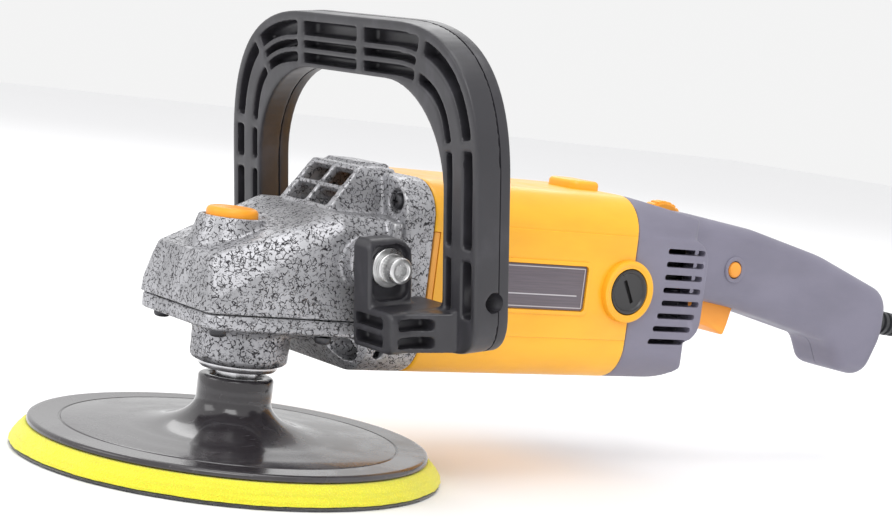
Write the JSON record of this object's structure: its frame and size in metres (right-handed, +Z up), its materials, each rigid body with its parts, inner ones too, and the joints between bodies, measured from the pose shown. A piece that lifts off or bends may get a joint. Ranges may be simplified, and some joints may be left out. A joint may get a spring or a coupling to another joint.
{
  "type": "rotary polisher",
  "caption": "Corded rotary polisher with a long geared head, a foam pad on a backing plate, a D-shaped front handle and a rear trigger handle.",
  "frame": {"origin": "centre of the pad's working face, on the spindle's axis", "axes": "+Z up the spindle's axis, +X back along the motor towards the rear handle and the cord, +Y to the right of a user behind it"},
  "size_m": [0.703, 0.2335, 0.1915],
  "materials": {
    "cast_crackle": "silver-grey crackle paint over cast aluminium",
    "housing_yellow": "satin-gloss moulded",
    "rear_grey": "satin moulded",
    "handle_black": "semi-gloss moulded",
    "plate_black": "smooth moulded",
    "switch_orange": "satin moulded",
    "inner_orange": "satin moulded",
    "steel": "bright zinc or ground",
    "iron": "stacked plates",
    "copper": "bare",
    "carbon": "pressed carbon",
    "inner_black": "moulded",
    "screw_black": "black oxide",
    "foam_yellow": "closed-cell foam",
    "hook_felt": "hook cloth",
    "label": "satin film with no text",
    "rubber": "matt"
  },
  "bodies": {
    "root": {"gear_housing": "cast_crackle", "lower_cover": "cast_crackle", "motor_housing": "housing_yellow", "rear_housing_left": "rear_grey", "rear_housing_right": "rear_grey", "baffle_ring": "inner_orange", "label_plate": "label", "brush_cap_left": "screw_black", "brush_cap_right": "screw_black", "carbon_brush_left": "carbon", "carbon_brush_right": "carbon", "brush_holder_left": "copper", "brush_holder_right": "copper", "handle_front_shell": "handle_black", "handle_rear_shell": "handle_black", "handle_bolt_left": "steel", "handle_bolt_right": "steel", "handle_washer_left": "steel", "handle_washer_right": "steel", "spindle_lower_bearing": "steel", "spindle_upper_bearing": "steel", "idler_lower_bearing": "steel", "idler_upper_bearing": "steel", "armature_front_bearing": "steel", "armature_rear_bearing": "steel", "stator": "iron", "bearing_bracket": "inner_black", "switch_body": "inner_black", "speed_controller": "inner_black", "cover_screw_1": "screw_black", "cover_screw_2": "screw_black", "cover_screw_3": "screw_black", "cover_screw_4": "screw_black", "flange_screw_1": "screw_black", "flange_screw_2": "screw_black", "flange_screw_3": "screw_black", "flange_screw_4": "screw_black", "shell_screw_1": "screw_black", "shell_screw_2": "screw_black", "shell_screw_3": "screw_black", "strain_relief": "rubber", "cord_tube": "rubber", "cord_coil": "rubber", "plug": "rubber"},
    "pad_spindle": {"spindle": "steel", "spindle_gear": "steel", "backing_plate": "plate_black", "foam_pad": "foam_yellow", "hook_layer": "hook_felt"},
    "idler": {"idler_pinion_shaft": "steel", "idler_bevel_gear": "steel"},
    "armature": {"armature_shaft": "steel", "armature_core": "iron", "commutator": "copper", "fan": "inner_black", "drive_pinion": "steel"},
    "trigger": {"trigger": "switch_orange"},
    "lock_on": {"lock_on_button": "switch_orange"},
    "spindle_lock": {"spindle_lock_button": "switch_orange"},
    "dial": {"speed_dial": "housing_yellow"}
  },
  "joints": [
    {"name": "spindle_spin", "type": "hinge", "parent": "root", "child": "pad_spindle", "pos_m": [0, 0, 0], "axis": [0, 0, 1], "continuous": true},
    {"name": "idler_spin", "type": "hinge", "parent": "root", "child": "idler", "pos_m": [0.03015, 0, 0], "axis": [0, 0, 1], "continuous": true},
    {"name": "armature_spin", "type": "hinge", "parent": "root", "child": "armature", "pos_m": [0, 0, 0.0855], "axis": [1, 0, 0], "continuous": true},
    {"name": "trigger_pull", "type": "slide", "parent": "root", "child": "trigger", "axis": [0.1994, 0, 0.9799], "range_m": [0, 0.006], "stiffness_N_per_m": 500, "springref_m": -0.002},
    {"name": "lock_on_press", "type": "slide", "parent": "root", "child": "lock_on", "axis": [0, 1, 0], "range_m": [0, 0.003], "stiffness_N_per_m": 300, "springref_m": -0.001},
    {"name": "spindle_lock_press", "type": "slide", "parent": "root", "child": "spindle_lock", "axis": [0, 0, -1], "range_m": [0, 0.004], "stiffness_N_per_m": 500, "springref_m": -0.002},
    {"name": "dial_turn", "type": "hinge", "parent": "root", "child": "dial", "pos_m": [0.2195, 0, 0.1114], "axis": [0, 1, 0], "range_deg": [-135, 135]}
  ],
  "couplings": [
    {"joint": "idler_spin", "follows": "spindle_spin", "ratio": -3.3636},
    {"joint": "armature_spin", "follows": "spindle_spin", "ratio": -9.4793}
  ]
}
